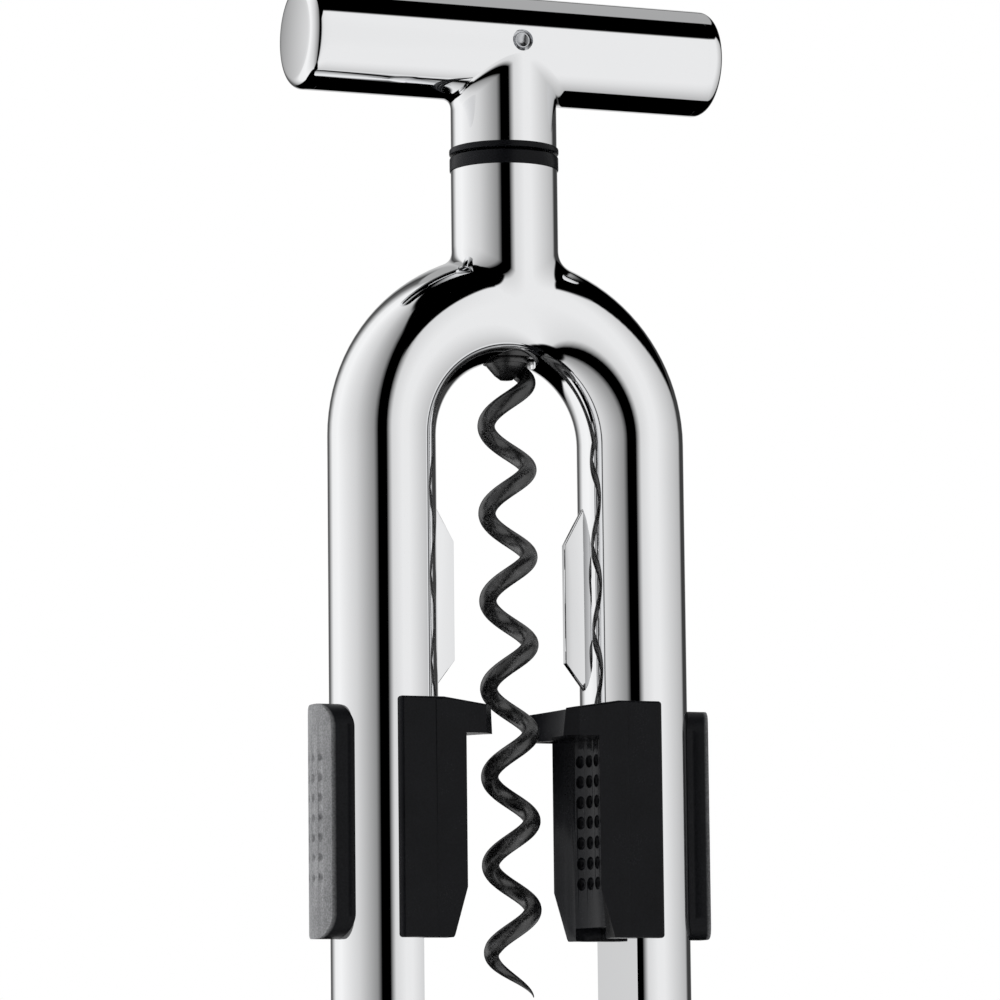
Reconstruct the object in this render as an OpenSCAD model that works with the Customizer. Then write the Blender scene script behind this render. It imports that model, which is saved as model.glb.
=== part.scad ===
// Continuous-pull corkscrew. A chromed bar frame straddles the bottle neck, black jaws
// on its legs hold the bottle finish, and a T handle turns the worm in two plain bushes.
// Millimetres, +Z up, +X towards the right leg. The origin lies midway between the feet,
// on the surface that they stand on.

/* [Frame] */
// Distance between the two leg axes
leg_spread = 42.8; // [42:0.2:46]
// Diameter of the round bar that the frame is formed from
bar_stock_d = 17.2; // [16.6:0.1:17.6]
// Height of the arch's springing line above the feet
arch_z = 118.8; // [114:0.1:126]
// Distance from a leg's axis to the flat on its inner side, behind and below the jaw
relief_reach = 3.4; // [3:0.1:4.2]
// How far the flat ends below the top of the jaw
relief_short = 2.5; // [2:0.1:4]

/* [Neck] */
// Outside diameter of the neck
neck_d = 17.1; // [16.4:0.1:17.1]
// Height of the neck above the crown of the arch
neck_rise = 13.6; // [10:0.2:18]

/* [Bushes] */
// Outside diameter of the upper bush in the neck
upper_bush_d = 12; // [11:0.1:13]
// Length of the upper bush below its flange
upper_bush_l = 11; // [8:0.5:12]
// Diameter of the upper bush's flange
flange_d = 17.5; // [16.4:0.1:18]
// Height of the upper bush's flange
flange_h = 2.3; // [1.6:0.1:3]
// Outside diameter of the lower bush in the arch
lower_bush_d = 9.4; // [9:0.1:11]
// Length of the lower bush
lower_bush_l = 9; // [7:0.5:11]
// How far the lower bush is sunk into the underside of the arch
lower_bush_sink = 1.6; // [1.4:0.1:2.4]

/* [Handle] */
// Outside diameter of the handle bar
bar_d = 17.2; // [16.8:0.1:18]
// Length of the handle bar over its end caps
bar_l = 71.4; // [60:0.2:90]
// Wall of the handle bar
bar_wall = 1.6; // [1.2:0.1:2]
// Outside diameter of the handle stem
stem_d = 17; // [15.8:0.1:17]
// Height of the bar's axis above the foot of the stem
stem_rise = 16.3; // [13:0.1:20]
// Diameter of the thrust washer under the stem
washer_d = 17.6; // [16.4:0.1:18]
// Thickness of the thrust washer
washer_h = 1; // [0.6:0.1:1.6]
// Running gap between the thrust washer and the bush flange
thrust_gap = 0.4; // [0.2:0.05:0.8]
// Diameter of the cross pin through the bar and the spindle
pin_d = 3.4; // [2.8:0.1:4]
// Thickness of an end cap's disc
cap_h = 3; // [2.4:0.1:4]
// Length of an end cap's spigot
cap_spigot_l = 6; // [4:0.5:10]
// Rise of an end cap's domed face
cap_dome = 0.9; // [0.5:0.1:1.4]
// Radius of an end cap's rounded edge
cap_edge_r = 0.8; // [0.6:0.1:1.6]

/* [Spindle] */
// Diameter of the spindle
spindle_d = 7.4; // [7:0.1:7.8]
// Depth of the retaining ring's groove
groove_depth = 0.6; // [0.4:0.1:0.9]
// Outside diameter of the retaining ring
ring_d = 9; // [8.8:0.1:10]
// Thickness of the retaining ring
ring_h = 1; // [0.8:0.1:1.2]
// Length of spindle below the retaining ring
spindle_nose = 0.8; // [0.5:0.1:1.5]

/* [Worm] */
// Outside diameter of the worm
worm_d = 9.4; // [8.8:0.1:10]
// Diameter of the worm's wire
wire_d = 2.8; // [2.4:0.1:3.2]
// Rise of one turn of the worm
worm_pitch = 14; // [13:0.1:16]
// Height of the worm's point above the feet
worm_tip_z = 30.5; // [24:0.5:36]
// Length of the ground taper at the worm's point, measured along the axis
worm_taper = 8; // [5:0.5:12]
// Direction that the worm's point faces, counter-clockwise from +X
worm_heading = -16; // [-180:1:180]

/* [Jaws] */
// Height of the jaws' lower edge above the feet
jaw_z = 39.6; // [36:0.2:46]
// Height of a jaw
jaw_h = 37.4; // [34:0.1:42]
// Width of a jaw across its two side walls
jaw_w = 19.2; // [18.8:0.1:20.4]
// Distance from the axis to the jaws' outer edges
jaw_reach = 22.3; // [21.6:0.1:23.4]
// Height of the flange that rests on the bottle's mouth
ledge_h = 5.6; // [4:0.1:7]
// Diameter of the bore that takes the bottle's finish
finish_bore_d = 29.6; // [28.4:0.1:29.8]
// Diameter of the opening that the cork passes through, at its lower edge
cork_bore_d = 19; // [18.4:0.1:22]
// Angle that the flange of one jaw spans about the axis
ledge_span = 101; // [90:1:110]
// Growth of the cork opening's radius from the flange's underside to its top
ledge_flare = 0.7; // [0.3:0.1:1.2]
// Fall of the flange's top towards the axis
ledge_fall = 1.3; // [0.8:0.1:2]
// Height of the sloped lead-in at the foot of the side walls
lead_h = 7.8; // [6:0.1:13]
// Depth of the lead-in at the foot of the side walls
lead_in = 2.3; // [1.5:0.1:3]
// Height of the web's lower edge above the side walls' feet
web_rise = 2; // [1:0.1:4]
// Width of the step in the web's lower edge
web_notch_w = 12.2; // [10:0.1:13]

/* [Grip pads] */
// How far a pad's upper edge lies below the top of the jaw
pad_short = 0.9; // [0.3:0.1:3]
// Width of a pad
pad_w = 10.4; // [8.6:0.1:11]
// Thickness of a pad over the leg
pad_t = 3.3; // [2.4:0.1:4]
// Radius of a pad's corners
pad_corner_r = 3.8; // [3:0.1:4.2]
// Diameter of a pad's two studs
stud_d = 2.8; // [2.4:0.1:3.2]
// Diameter of the jaw bosses that take the studs
boss_d = 5; // [4.6:0.1:5.6]
// Distance between a pad's two studs
stud_pitch = 18; // [14:0.5:22]

/* [Cork fins] */
// Height of the fins' lower end above the jaws
fin_gap = 2.2; // [1:0.1:6]
// Height of a fin
fin_h = 29.1; // [24:0.1:31]
// Height of a fin's biting edge
fin_edge_h = 18.9; // [15:0.1:22]
// Distance from the fin's foot to the lower end of its biting edge
fin_edge_rise = 4.3; // [3:0.1:6]
// Distance from the axis to a fin's biting edge
fin_reach = 9.5; // [8.6:0.1:10.6]
// Thickness of a fin
fin_t = 1.2; // [0.9:0.1:1.6]
// Depth of a fin's root in the leg
fin_root = 1.5; // [1:0.1:2]

/* [Feet] */
// Height of a foot plug's cap below the leg
plug_cap_h = 3; // [2:0.1:4]
// Diameter of a foot plug's spigot in the leg
plug_spigot_d = 6; // [5:0.1:7]
// Length of a foot plug's spigot
plug_spigot_l = 8; // [5:0.5:12]
// Radius of a foot plug's rounded edge
plug_edge_r = 1.5; // [1:0.1:1.8]

/* [Clearances] */
// Radial clearance of the spindle in its bushes
run_clear = 0.05; // [0.02:0.01:0.1]
// Radial clearance of pieces pushed together
push_clear = 0.03; // [0.01:0.01:0.1]
// Clearance of a moulding against the leg that it hugs
hug_clear = 0.05; // [0.02:0.01:0.1]
// Side play of the retaining ring in its groove, and its gap below the bush
ring_clear = 0.1; // [0.05:0.05:0.2]

/* [Hidden] */
$fn = 96;
// Overrun of a cutting tool past the face that it leaves
over = 1;
leg_x = leg_spread / 2;
leg_r = bar_stock_d / 2;
arch_top = arch_z + leg_x + leg_r;
// Inner crown of the legs, and underside of the arch on the axis
crown_x = leg_x - leg_r;
crown_z = arch_z + crown_x;
jaw_top = jaw_z + jaw_h;
relief_top = jaw_top - relief_short;
// Handle stack
neck_r = neck_d / 2;
neck_top = arch_top + neck_rise;
washer_z = neck_top + flange_h + thrust_gap;
stem_z = washer_z + washer_h;
bar_z = stem_z + stem_rise;
bar_r = bar_d / 2;
bar_bore_r = bar_r - bar_wall;
bar_tube_l = bar_l - 2 * cap_h;
// Spindle stack
spindle_r = spindle_d / 2;
groove_r = spindle_r - groove_depth;
lower_bush_z = crown_z + lower_bush_sink;
ring_z = lower_bush_z - ring_clear - ring_h;
spindle_z = ring_z - ring_clear - spindle_nose;
spindle_top = bar_z + bar_bore_r / 2;
// Jaws, pads and fins
ledge_z = jaw_top - ledge_h;
ledge_in = cork_bore_d / 2 * cos(ledge_span / 2);
pad_h = jaw_h - pad_short;
fin_z = jaw_top + fin_gap;
jaw_edge_r = 0.8;
stud_zs = [for (k = [-1, 1]) jaw_z + jaw_h / 2 + k * stud_pitch / 2];
boss_end = leg_x - relief_reach / 2;
boss_floor = 1.2;
// Foot plugs stand in the middle of the relieved leg
plug_x = leg_x + (leg_r - relief_reach) / 2;
// Worm
wire_r = wire_d / 2;
helix_r = worm_d / 2 - wire_r;
wire_sides = 10;
rings_per_turn = 20;
worm_turns = (spindle_z + wire_d - worm_tip_z) / worm_pitch;
tip_r = 0.12;

// Runs its children once, mirrored to the left for side -1
module on_side(side) {
    mirror([side < 0 ? 1 : 0, 0, 0]) children();
}

// Round leg with a flat on its inner side, which lies towards -X
module relieved_section(clear) {
    intersection() {
        circle(r = leg_r + clear);
        translate([-relief_reach - clear, -bar_stock_d]) square(2 * bar_stock_d);
    }
}

// Sweeps a leg section over the arch, from the right leg
module over_arch(sweep = 180) {
    translate([0, 0, arch_z]) rotate([90, 0, 0]) rotate_extrude(angle = sweep)
        translate([leg_x, 0]) children();
}

// Runs a leg section up one leg between two heights
module up_leg(from_z, to_z) {
    translate([leg_x, 0, from_z]) linear_extrude(to_z - from_z) children();
}

// A cylinder along +X from one distance to another
module x_rod(from_x, to_x, r) {
    translate([from_x, 0, 0]) rotate([0, 90, 0]) cylinder(r = r, h = to_x - from_x);
}

// Holes for the jaws' bosses and the pads' studs, slots for the fins, and plug holes
module leg_holes() {
    for (z = stud_zs) translate([0, 0, z]) {
        x_rod(leg_x - leg_r - over, boss_end + push_clear, boss_d / 2 + push_clear);
        x_rod(boss_end, leg_x + leg_r + over, stud_d / 2 + push_clear);
    }
    translate([crown_x - over, -fin_t / 2 - push_clear, fin_z - push_clear])
        cube([fin_root + over + push_clear, fin_t + 2 * push_clear, fin_h + 2 * push_clear]);
    translate([plug_x, 0, plug_cap_h - over])
        cylinder(r = plug_spigot_d / 2 + push_clear, h = plug_spigot_l + over + push_clear);
}

// Round bar bent to an arch, with flats that make room for the jaws and the bottle
module frame_bar() {
    color("silver") difference() {
        union() {
            for (side = [-1, 1]) on_side(side) {
                up_leg(plug_cap_h, relief_top) relieved_section(0);
                up_leg(relief_top, arch_z) circle(r = leg_r);
            }
            over_arch() circle(r = leg_r);
        }
        translate([0, 0, arch_z]) cylinder(r = lower_bush_d / 2 + push_clear, h = leg_x);
        translate([0, 0, arch_z + leg_x]) cylinder(r = upper_bush_d / 2 + push_clear, h = leg_r + over);
        for (side = [-1, 1]) on_side(side) leg_holes();
    }
}

// Neck coped to the arch
module neck_tube() {
    foot_z = arch_z + leg_x;
    color("silver") difference() {
        translate([0, 0, foot_z]) cylinder(d = neck_d, h = neck_top - foot_z);
        over_arch() circle(r = leg_r);
        translate([0, 0, foot_z - over]) cylinder(r = upper_bush_d / 2 + push_clear, h = neck_top);
    }
}

// Thin plate whose straight edge bites the cork, rooted in a slot of the leg
module cork_fin(side) {
    edge_z = fin_z + fin_edge_rise;
    root_x = crown_x + fin_root;
    color("gainsboro") on_side(side) translate([0, fin_t / 2, 0]) rotate([90, 0, 0])
        linear_extrude(fin_t) polygon([
            [root_x, fin_z], [crown_x, fin_z], [fin_reach, edge_z],
            [fin_reach, edge_z + fin_edge_h], [crown_x, fin_z + fin_h], [root_x, fin_z + fin_h],
        ]);
}

module upper_bush() {
    color("black") difference() {
        union() {
            translate([0, 0, neck_top - upper_bush_l]) cylinder(d = upper_bush_d, h = upper_bush_l);
            translate([0, 0, neck_top]) cylinder(d = flange_d, h = flange_h);
        }
        translate([0, 0, neck_top - upper_bush_l - over])
            cylinder(r = spindle_r + run_clear, h = upper_bush_l + flange_h + 2 * over);
    }
}

module lower_bush() {
    color("black") translate([0, 0, lower_bush_z]) difference() {
        cylinder(d = lower_bush_d, h = lower_bush_l);
        translate([0, 0, -over]) cylinder(r = spindle_r + run_clear, h = lower_bush_l + 2 * over);
    }
}

// Outline of a jaw seen from above, with rounded outer edges
module jaw_plan() {
    half = jaw_w / 2;
    edge = jaw_reach - jaw_edge_r;
    translate([0, -half]) square([edge, jaw_w]);
    for (k = [-1, 1]) {
        translate([edge, k * (half - jaw_edge_r)]) circle(r = jaw_edge_r);
    }
    translate([0, jaw_edge_r - half]) square([jaw_reach, jaw_w - 2 * jaw_edge_r]);
}

// Room outside the angle that the flange spans
module span_cut() {
    reach = jaw_w;
    translate([0, 0, ledge_z - over]) linear_extrude(ledge_h + 2 * over) for (k = [-1, 1])
        polygon([[-over, 0], [0, 0], [reach / tan(ledge_span / 2), k * reach], [-over, k * reach]]);
}

// Slope at the foot of the side walls that guides the bottle in
module lead_cut() {
    wall_x = sqrt(pow(finish_bore_d / 2, 2) - pow(jaw_w / 2, 2));
    translate([0, jaw_w, jaw_z]) rotate([90, 0, 0]) linear_extrude(2 * jaw_w)
        polygon([[0, -over], [wall_x + lead_in, -over], [wall_x + lead_in, 0], [wall_x, lead_h], [0, lead_h]]);
}

// Wedge that lets the flange's top fall towards the axis
module ledge_cut() {
    fall_from = finish_bore_d / 2;
    translate([0, jaw_w, jaw_top]) rotate([90, 0, 0]) linear_extrude(2 * jaw_w)
        polygon([[0, over], [fall_from, over], [fall_from, 0], [ledge_in, -ledge_fall], [0, -ledge_fall]]);
}

// Cup half that holds the bottle's finish, hugs the leg and is held by two hollow bosses
module jaw(side) {
    cork_r = cork_bore_d / 2;
    flare = ledge_flare / ledge_h;
    color("#15171c") on_side(side) difference() {
        union() {
            difference() {
                translate([0, 0, jaw_z]) linear_extrude(jaw_h) jaw_plan();
                up_leg(jaw_z - over, jaw_top) relieved_section(hug_clear);
                up_leg(relief_top - hug_clear, jaw_top + over) circle(r = leg_r + hug_clear);
            }
            for (z = stud_zs) translate([0, 0, z])
                x_rod(finish_bore_d / 2 - over, boss_end, boss_d / 2);
        }
        translate([0, 0, jaw_z - over]) cylinder(d = finish_bore_d, h = jaw_h - ledge_h + over);
        translate([0, 0, ledge_z - over])
            cylinder(r1 = cork_r - flare * over, r2 = cork_r + flare * (ledge_h + over), h = ledge_h + 2 * over);
        span_cut();
        lead_cut();
        ledge_cut();
        translate([0, -web_notch_w / 2, jaw_z - over]) cube([leg_x, web_notch_w, web_rise + over]);
        for (z = stud_zs) translate([0, 0, z])
            x_rod(finish_bore_d / 2 + boss_floor, leg_x, stud_d / 2 + push_clear);
    }
}

// Outline of a grip pad seen along X, with rounded corners
module pad_outline() {
    r = pad_corner_r;
    half = pad_w / 2;
    translate([-half, r]) square([pad_w, pad_h - 2 * r]);
    translate([r - half, 0]) square([pad_w - 2 * r, pad_h]);
    for (y = [r - half, half - r], z = [r, pad_h - r]) {
        translate([y, z]) circle(r = r);
    }
}

// Curved finger pad on the outside of a leg, with two studs that push into the jaw
module grip_pad(side) {
    stud_end = finish_bore_d / 2 + boss_floor + hug_clear;
    color("#1b1d22") on_side(side) {
        intersection() {
            translate([leg_x, 0, jaw_z]) rotate([90, 0, 90]) linear_extrude(leg_r + pad_t + over) pad_outline();
            translate([leg_x, 0, jaw_z]) difference() {
                cylinder(r = leg_r + pad_t, h = pad_h);
                translate([0, 0, -over]) cylinder(r = leg_r + hug_clear, h = pad_h + 2 * over);
            }
        }
        for (z = stud_zs) translate([0, 0, z]) x_rod(stud_end, leg_x + leg_r + pad_t / 2, stud_d / 2);
    }
}

// Disc with a rounded edge, from z 0 down to -h, drawn as half of its section
module rounded_disc_section(r, h, edge_r) {
    translate([0, -h]) square([r - edge_r, h]);
    translate([0, edge_r - h]) square([r, h - edge_r]);
    translate([r - edge_r, edge_r - h]) circle(r = edge_r);
}

module foot_plug(side) {
    color("#15171c") on_side(side) {
        intersection() {
            translate([leg_x, 0, plug_cap_h]) rotate_extrude() rounded_disc_section(leg_r, plug_cap_h, plug_edge_r);
            up_leg(-over, plug_cap_h) relieved_section(0);
        }
        translate([plug_x, 0, plug_cap_h - over]) cylinder(d = plug_spigot_d, h = plug_spigot_l + over);
    }
}

module handle_bar() {
    color("silver") difference() {
        translate([0, 0, bar_z]) x_rod(-bar_tube_l / 2, bar_tube_l / 2, bar_r);
        translate([0, 0, bar_z]) x_rod(-bar_tube_l / 2 - over, bar_tube_l / 2 + over, bar_bore_r);
        translate([0, 0, stem_z]) cylinder(r = spindle_r + push_clear, h = stem_rise);
        translate([0, bar_d, bar_z]) rotate([90, 0, 0]) cylinder(r = pin_d / 2 + push_clear, h = 2 * bar_d);
    }
}

// Stem coped to the bar
module handle_stem() {
    color("silver") difference() {
        translate([0, 0, stem_z]) cylinder(d = stem_d, h = stem_rise);
        translate([0, 0, bar_z]) x_rod(-bar_d, bar_d, bar_r);
        translate([0, 0, stem_z - over]) cylinder(r = spindle_r + push_clear, h = stem_rise + over);
    }
}

// Domed end of the bar with a spigot
module end_cap(side) {
    dome_r = (bar_r * bar_r + cap_dome * cap_dome) / (2 * cap_dome);
    color("silver") on_side(side) translate([bar_tube_l / 2, 0, bar_z]) rotate([0, 90, 0]) {
        intersection() {
            rotate([180, 0, 0]) rotate_extrude() rounded_disc_section(bar_r, cap_h, cap_edge_r);
            translate([0, 0, cap_h - dome_r]) sphere(r = dome_r);
        }
        translate([0, 0, -cap_spigot_l]) cylinder(r = bar_bore_r - push_clear, h = cap_spigot_l);
    }
}

// Pin with dished ends that ties the bar to the spindle
module cross_pin() {
    half = bar_r - bar_wall / 8;
    dish = pin_d / 8;
    dish_r = (pow(pin_d / 3, 2) + dish * dish) / (2 * dish);
    color("gray") translate([0, 0, bar_z]) rotate([90, 0, 0]) difference() {
        translate([0, 0, -half]) cylinder(d = pin_d, h = 2 * half);
        for (k = [-1, 1]) {
            translate([0, 0, k * (half - dish + dish_r)]) sphere(r = dish_r);
        }
    }
}

module thrust_washer() {
    color("black") translate([0, 0, washer_z]) difference() {
        cylinder(d = washer_d, h = washer_h);
        translate([0, 0, -over]) cylinder(r = spindle_r + push_clear, h = washer_h + 2 * over);
    }
}

module spindle() {
    color("gray") difference() {
        translate([0, 0, spindle_z]) cylinder(r = spindle_r, h = spindle_top - spindle_z);
        translate([0, 0, ring_z - ring_clear]) difference() {
            cylinder(r = spindle_d, h = ring_h + 2 * ring_clear);
            translate([0, 0, -over]) cylinder(r = groove_r, h = ring_h + 2 * ring_clear + 2 * over);
        }
        translate([0, bar_d, bar_z]) rotate([90, 0, 0]) cylinder(r = pin_d / 2 + push_clear, h = 2 * bar_d);
    }
}

// Snap ring in the spindle's groove, under the lower bush
module retaining_ring() {
    color("dimgray") translate([0, 0, ring_z]) difference() {
        cylinder(d = ring_d, h = ring_h);
        translate([0, 0, -over]) cylinder(r = groove_r + push_clear, h = ring_h + 2 * over);
        translate([0, -groove_r / 2, -over]) cube([ring_d, groove_r, ring_h + 2 * over]);
    }
}

// Ring of points round the wire at a height above the worm's point
function wire_ring(rise) =
    let (
        turn = worm_heading + 360 * rise / worm_pitch,
        r = tip_r + (wire_r - tip_r) * min(1, rise / worm_taper),
        lean = atan2(worm_pitch, 2 * PI * helix_r),
        out = [cos(turn), sin(turn), 0],
        up = [sin(turn) * sin(lean), -cos(turn) * sin(lean), cos(lean)],
        centre = [helix_r * out.x, helix_r * out.y, worm_tip_z + rise]
    )
    [for (k = [0 : wire_sides - 1])
        let (a = 360 * k / wire_sides) centre + r * (cos(a) * out + sin(a) * up)];

// Helix of round wire, ground to a point, that ends under the spindle's nose
module worm() {
    rings = ceil(worm_turns * rings_per_turn);
    rise = worm_turns * worm_pitch;
    points = [for (k = [0 : rings]) each wire_ring(rise * k / rings)];
    skin = [for (k = [0 : rings - 1], i = [0 : wire_sides - 1])
        let (a = k * wire_sides + i, b = k * wire_sides + (i + 1) % wire_sides)
        each [[a, a + wire_sides, b], [b, a + wire_sides, b + wire_sides]]];
    ends = [
        [for (i = [0 : wire_sides - 1]) i],
        [for (i = [wire_sides - 1 : -1 : 0]) rings * wire_sides + i],
    ];
    color("#2b2c2e") difference() {
        polyhedron(points, concat(skin, ends), convexity = 12);
        translate([0, 0, spindle_z]) cylinder(r = worm_d, h = 2 * worm_pitch);
    }
}

frame_bar();
neck_tube();
cork_fin(-1);  // cork_fin_left
cork_fin(1);  // cork_fin_right
upper_bush();
lower_bush();
jaw(-1);  // jaw_left
jaw(1);  // jaw_right
grip_pad(-1);  // grip_pad_left
grip_pad(1);  // grip_pad_right
foot_plug(-1);  // foot_plug_left
foot_plug(1);  // foot_plug_right
handle_bar();
handle_stem();
end_cap(-1);  // end_cap_left
end_cap(1);  // end_cap_right
cross_pin();
thrust_washer();
spindle();
retaining_ring();
worm();
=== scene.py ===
import logging
import math
from contextlib import contextmanager
from dataclasses import dataclass, field
from enum import Enum
from typing import Callable, Iterable, Iterator, Optional, Sequence, Union

import bmesh
import bpy
import numpy as np
from mathutils import Matrix, Vector


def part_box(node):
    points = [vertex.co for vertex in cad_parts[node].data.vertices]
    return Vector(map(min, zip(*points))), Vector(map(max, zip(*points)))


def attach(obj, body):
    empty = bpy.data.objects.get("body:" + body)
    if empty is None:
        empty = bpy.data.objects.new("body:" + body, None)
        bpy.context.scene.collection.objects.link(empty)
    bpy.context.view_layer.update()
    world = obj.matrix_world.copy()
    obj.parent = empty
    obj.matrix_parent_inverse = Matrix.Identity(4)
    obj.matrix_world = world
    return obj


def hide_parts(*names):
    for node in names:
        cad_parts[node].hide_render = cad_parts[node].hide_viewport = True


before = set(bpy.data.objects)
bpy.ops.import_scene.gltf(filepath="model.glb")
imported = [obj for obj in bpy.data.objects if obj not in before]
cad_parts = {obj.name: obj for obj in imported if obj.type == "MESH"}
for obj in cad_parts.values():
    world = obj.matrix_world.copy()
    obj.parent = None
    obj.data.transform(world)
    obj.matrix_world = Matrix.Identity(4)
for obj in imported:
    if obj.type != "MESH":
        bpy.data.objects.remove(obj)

log = logging.getLogger("corkscrew")
MM = 0.001
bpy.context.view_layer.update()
LEG_X = 21.4
PAD_FACE_R = 11.9
WHITE = (1.0, 1.0, 1.0, 1.0)
WHOLE = (0.0, 1.0)

Colour = tuple[float, float, float]
Pair = tuple[float, float]
Stops = tuple[Pair, ...]
Field = Callable[[np.ndarray], np.ndarray]
Material = bpy.types.Material
Mesh = bpy.types.Mesh
Object = bpy.types.Object
Socket = bpy.types.NodeSocket
Sockets = bpy.types.bpy_prop_collection
Value = Union[float, Socket]
Paint = Union[Colour, Socket]


class Body(Enum):
    """The two rigid bodies of the corkscrew."""

    FRAME = "frame"
    HANDLE = "handle"


class Slot(Enum):
    """The record's material slots."""

    CHROME = "chrome"
    BLACK = "black_plastic"
    GRIP = "grip_plastic"
    STEEL = "steel"
    COATED = "coated_steel"


class Side(Enum):
    """Left or right leg, as the sign of X."""

    LEFT = -1
    RIGHT = 1

    @property
    def word(self) -> str:
        """The side's name as it stands in node names."""
        return self.name.lower()


class Graph:
    """Short calls for building a shader or geometry node tree."""

    def __init__(self, tree: bpy.types.NodeTree) -> None:
        """Keeps the tree and empties it."""
        self.tree = tree
        tree.nodes.clear()

    @classmethod
    def geometry(cls, name: str, sizes: dict[str, float], on_mesh: bool) -> tuple["Graph", Sockets]:
        """Starts a geometry node tree with one named input for each size.

        Args:
            name: The tree's name.
            sizes: The sizes by name, of which whole numbers get whole-number inputs.
            on_mesh: Whether the tree also takes in a mesh.

        Returns:
            The graph and the sockets of its inputs.
        """
        tree = bpy.data.node_groups.new(name, "GeometryNodeTree")
        kinds = {"Geometry": "Geometry"} if on_mesh else {}
        kinds |= {size: "Int" if isinstance(value, int) else "Float" for size, value in sizes.items()}
        for size, kind in kinds.items():
            tree.interface.new_socket(size, in_out="INPUT", socket_type=f"NodeSocket{kind}")
        tree.interface.new_socket("Geometry", in_out="OUTPUT", socket_type="NodeSocketGeometry")
        graph = cls(tree)
        return graph, graph.node("NodeGroupInput").outputs

    def fill(self, node: bpy.types.Node, inputs: dict) -> None:
        """Sets or links inputs of a node.

        Args:
            node: The node.
            inputs: Values or sockets by input name or index.
        """
        for key, value in inputs.items():
            if isinstance(value, Socket):
                self.tree.links.new(value, node.inputs[key])
            else:
                node.inputs[key].default_value = value

    def node(self, kind: str, settings: Optional[dict] = None, inputs: Optional[dict] = None) -> bpy.types.Node:
        """Adds a node.

        Args:
            kind: The node's type name.
            settings: Properties to set on the node.
            inputs: Values or sockets by input name or index.

        Returns:
            The new node.
        """
        made = self.tree.nodes.new(kind)
        for key, value in (settings or {}).items():
            setattr(made, key, value)
        self.fill(made, inputs or {})
        return made

    def first(self, kind: str, settings: Optional[dict] = None, inputs: Optional[dict] = None) -> Socket:
        """Adds a node and gives its first output."""
        return self.node(kind, settings, inputs).outputs[0]

    def end(self, kind: str, result: Socket) -> None:
        """Adds the tree's output node, which takes the result at its first input."""
        self.node(kind, inputs={0: result})

    def math(self, operation: str, first: Value, second: Value = 0.0) -> Socket:
        """Adds a math node and gives its result."""
        return self.first("ShaderNodeMath", {"operation": operation}, {0: first, 1: second})

    def blend(self, first: Socket, second: Socket, share: float) -> Socket:
        """Adds up two values, of which the first counts by its share and the second by the rest."""
        shares = (self.math("MULTIPLY", first, share), self.math("MULTIPLY", second, 1 - share))
        return self.math("ADD", *shares)

    def spread(self, value: Socket, span: tuple[Value, Value], result: tuple[Value, Value]) -> Socket:
        """Maps a value, clamped, from the ends of a span to the result at both ends."""
        inputs = dict(enumerate((value, *span, *result)))
        return self.first("ShaderNodeMapRange", {"clamp": True}, inputs)

    def mix(self, share: Socket, first: Paint, second: Paint) -> Socket:
        """Mixes two colours, of which the second counts by its share."""
        ends = [(*end, 1.0) if isinstance(end, tuple) else end for end in (first, second)]
        return self.node("ShaderNodeMix", {"data_type": "RGBA"}, {0: share, 6: ends[0], 7: ends[1]}).outputs[2]

    def light(self, strength: Socket) -> Socket:
        """Adds white emission of the given strength."""
        return self.first("ShaderNodeEmission", inputs={"Color": WHITE, "Strength": strength})


class Coat:
    """A material in the making: its graph, its shader and the coordinates that its patterns read."""

    NOISE_ROUGHNESS = 0.6

    def __init__(self, name: str, colour: Colour) -> None:
        """Starts the material.

        Args:
            name: The material's name.
            colour: Its plain colour.
        """
        self.material = bpy.data.materials.new(name)
        self.material.use_nodes = True
        self.graph = Graph(self.material.node_tree)
        self.shader = self.graph.node("ShaderNodeBsdfPrincipled", inputs={"Base Color": (*colour, 1.0)})
        self.graph.end("ShaderNodeOutputMaterial", self.shader.outputs[0])
        self.place = self.graph.node("ShaderNodeTexCoord").outputs["Object"]

    def put(self, name: str, value: Value) -> None:
        """Sets or links one of the shader's inputs."""
        self.graph.fill(self.shader, {name: value})

    def axes(self) -> Sockets:
        """The coordinates taken apart."""
        return self.graph.node("ShaderNodeSeparateXYZ", inputs={"Vector": self.place}).outputs

    def noise(self, per_mm: float, detail: float = 4.0) -> Socket:
        """Adds a noise pattern of so many spots in a millimetre and octaves of finer detail."""
        inputs = {"Scale": per_mm / MM, "Detail": detail, "Roughness": self.NOISE_ROUGHNESS}
        return self.graph.first("ShaderNodeTexNoise", inputs={"Vector": self.place, **inputs})

    def bump(self, height: Socket, strength: Value, depth: float) -> None:
        """Raises the surface by a pattern of some strength and full height in millimetres."""
        inputs = {"Strength": strength, "Distance": depth * MM, "Height": height}
        self.put("Normal", self.graph.first("ShaderNodeBump", inputs=inputs))


@dataclass(frozen=True)
class Finish:
    """What every finish of the corkscrew shares: a slot, a colour and a way to make its material."""

    slot: Slot
    colour: Colour

    def dress(self, coat: Coat) -> None:
        """Adds the finish's own patterns, of which a plain finish has none."""

    def material(self) -> Material:
        """Makes the material.

        Returns:
            The material.
        """
        coat = Coat(self.slot.value, self.colour)
        self.dress(coat)
        return coat.material


@dataclass(frozen=True)
class ChromePlate(Finish):
    """Polished chrome with a faint haze and the slow waviness of a buffed bar."""

    haze: Pair = (0.018, 0.045)
    haze_span: Pair = (0.35, 0.7)
    haze_per_mm: float = 0.18
    wave: float = 0.012
    wave_per_mm: float = 0.06
    wave_depth: float = 0.2

    def dress(self, coat: Coat) -> None:
        """Adds the metal, its haze and its waves.

        Args:
            coat: The material in the making.
        """
        coat.put("Metallic", 1.0)
        coat.put("Roughness", coat.graph.spread(coat.noise(self.haze_per_mm, 5.0), self.haze_span, self.haze))
        coat.bump(coat.noise(self.wave_per_mm, 1.0), self.wave, self.wave_depth)


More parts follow.
